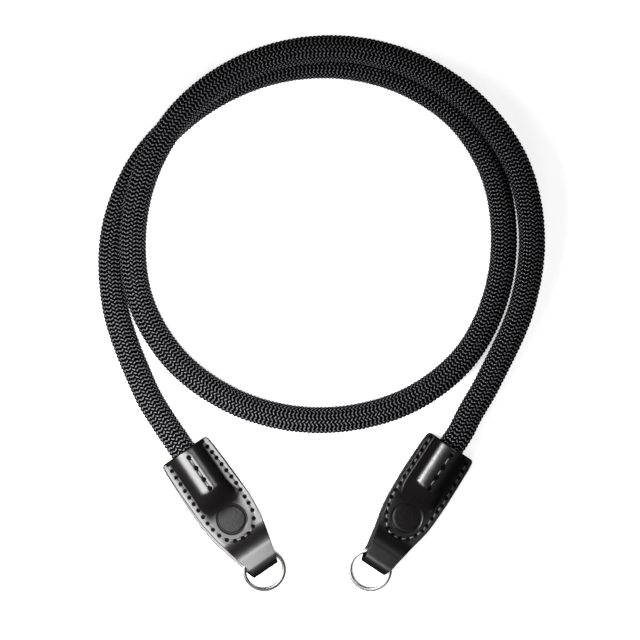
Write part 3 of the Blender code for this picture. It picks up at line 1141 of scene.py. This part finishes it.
def hole_prototype(material):
    """One stitch hole: a shallow cup with a soft rim, dull and near black as painted shade for the hole's
    depth.
    """
    bpy.ops.mesh.primitive_uv_sphere_add(segments=16, ring_count=8, radius=1.0)
    hole = named("stitch_hole")
    for point in hole.data.vertices:
        out = math.hypot(point.co.x, point.co.y)
        point.co.z = point.co.z * HOLE_FLATNESS - HOLE_DISH * (1 - min(out, 1.0) ** 2)
    hole.data.shade_smooth()
    give(hole, material)
    return hole


def place_hole(prototype, place):
    size = Matrix.Diagonal((HOLE_RADIUS, HOLE_RADIUS, HOLE_RADIUS, 1.0))
    return moved_copy(prototype, Matrix.Translation(place) @ size)


def join_as(name, pieces):
    select_only(*pieces)
    bpy.ops.object.join()
    whole = named(name)
    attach(whole, "strap")
    return whole


def on_front(end, along, side, sink=0.0):
    """A place on the front panel, or so far under its face."""
    return to_world(end, along, side, front_height(end, along, side) - sink).tolist()


def make_thread(name, end, prototype):
    """The edge stitches on both faces of the tab and the short row in its groove."""
    pieces = []
    holes = np.array(end["edge_holes"]) * MM
    lean = math.radians(THREAD_LEAN)
    for pair in zip(holes, holes[1:]):
        tops = [on_front(end, *hole) for hole in pair]
        pieces.append(place_stitch(prototype, *tops, THREAD_SINK, lean))
        lows = [to_world(end, *hole, BACK_THREAD_HEIGHT).tolist() for hole in pair]
        pieces.append(place_stitch(prototype, *lows, 0.0, -lean))
    groove = np.array(end["groove_holes"]) * MM
    side = end["groove_side"] * MM
    for pair in zip(groove, groove[1:]):
        tops = [on_front(end, along, side) for along in pair]
        pieces.append(place_stitch(prototype, *tops, GROOVE_THREAD_SINK, 0.0))
    return join_as(name, pieces)


def make_holes(name, end, prototype):
    """The holes that the thread goes through, in the front panel, as dull near-black cups of painted shade.
    """
    pieces = []
    for along, side in end["edge_holes"]:
        pieces.append(place_hole(prototype, on_front(end, along * MM, side * MM, HOLE_SINK)))
    for along, side in groove_path(end):
        pieces.append(place_hole(prototype, on_front(end, along * MM, side * MM, GROOVE_HOLE_SINK)))
    return join_as(name, pieces)


# Split rings


def wire_level(angle):
    """Height of the wire's middle after so many degrees from its lower end."""
    level = (WIRE_HEIGHT + TURN_GAP) / 2
    return -level + 2 * level * ease((angle - (360.0 - RAMP_ANGLE)) / RAMP_ANGLE)


def resting_tilt():
    reach = RING_OFFSET + RING_OUTER_DIAMETER / 2
    corner = math.hypot(reach, RING_HEIGHT / 2)
    drop = SWING_HEIGHT - TABLE_CLEARANCE
    return math.asin(drop / corner) - math.atan2(RING_HEIGHT / 2, reach)


def wire_profile():
    """The wire's flat section with rounded edges, as (outwards, up) in the order round it."""
    wide, high = WIRE_WIDTH / 2 - WIRE_ROUND, WIRE_HEIGHT / 2 - WIRE_ROUND
    corners = ((wide, high, 0), (-wide, high, 90), (-wide, -high, 180), (wide, -high, 270))
    points = []
    for centre_out, centre_up, first in corners:
        for step in range(5):
            angle = math.radians(first + 90 * step / 4)
            out = centre_out + WIRE_ROUND * math.cos(angle)
            points.append((out, centre_up + WIRE_ROUND * math.sin(angle)))
    return np.array(points)


def make_ring(name, end, material, body):
    """Two turns of flat wire on one another, tilted in the fold until the free side lies on the table."""
    profile = wire_profile()
    turned = np.arange(0.0, 720.0 - RAMP_ANGLE - WIRE_STEP, WIRE_STEP)
    angle = np.radians(end["ring_turn"] + turned)[:, None]
    radius = WIRE_RADIUS + profile[:, 0][None, :]
    x = RING_OFFSET + radius * np.cos(angle)
    y = radius * np.sin(angle)
    z = wire_level(turned)[:, None] + profile[:, 1][None, :]
    tilt = resting_tilt()
    along = x * math.cos(tilt) + z * math.sin(tilt) + TAB_LENGTH + end["ring_reach"] - RING_OFFSET
    height = -x * math.sin(tilt) + z * math.cos(tilt) + SWING_HEIGHT
    points = to_world(end, along, y + end["ring_shift"], height).reshape(-1, 3)
    around = len(profile)
    faces = []
    for section in range(len(turned) - 1):
        first = section * around
        second = first + around
        for step in range(around):
            following = (step + 1) % around
            faces.append((first + step, second + step, second + following, first + following))
    faces.append(tuple(range(around)))
    last = (len(turned) - 1) * around
    faces.append(tuple(reversed(range(last, last + around))))
    uv = np.zeros((len(points), 2))
    ring = mesh_from(name, points, faces, uv, material)
    select_only(ring)
    edit_all()
    bpy.ops.mesh.normals_make_consistent(inside=False)
    bpy.ops.object.mode_set(mode="OBJECT")
    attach(ring, body)
    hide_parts(body)
    return ring


# The whole strap


def make_materials():
    group = uneven_finish_group()
    return {
        "strand": strand_material(group),
        "core": core_and_gap_shade_material(group),
        "leather": leather_material(group),
        "thread": thread_material(group),
        "hole": hole_shade_material(group),
        "steel": steel_material(group),
    }


def make_strap():
    materials = make_materials()
    make_rope(materials)
    stitch = stitch_prototype(materials["thread"])
    hole = hole_prototype(materials["hole"])
    for side, end in ENDS.items():
        make_tab(f"{side}_leather", end, materials["leather"])
        make_thread(f"{side}_thread", end, stitch)
        make_holes(f"{side}_stitch_holes", end, hole)
        make_ring(f"{side}_split_ring", end, materials["steel"], f"{side}_ring")
    for prototype in (stitch, hole):
        bpy.data.objects.remove(prototype, do_unlink=True)


deselect()
set_camera()
set_lights()
make_floor()
make_strap()
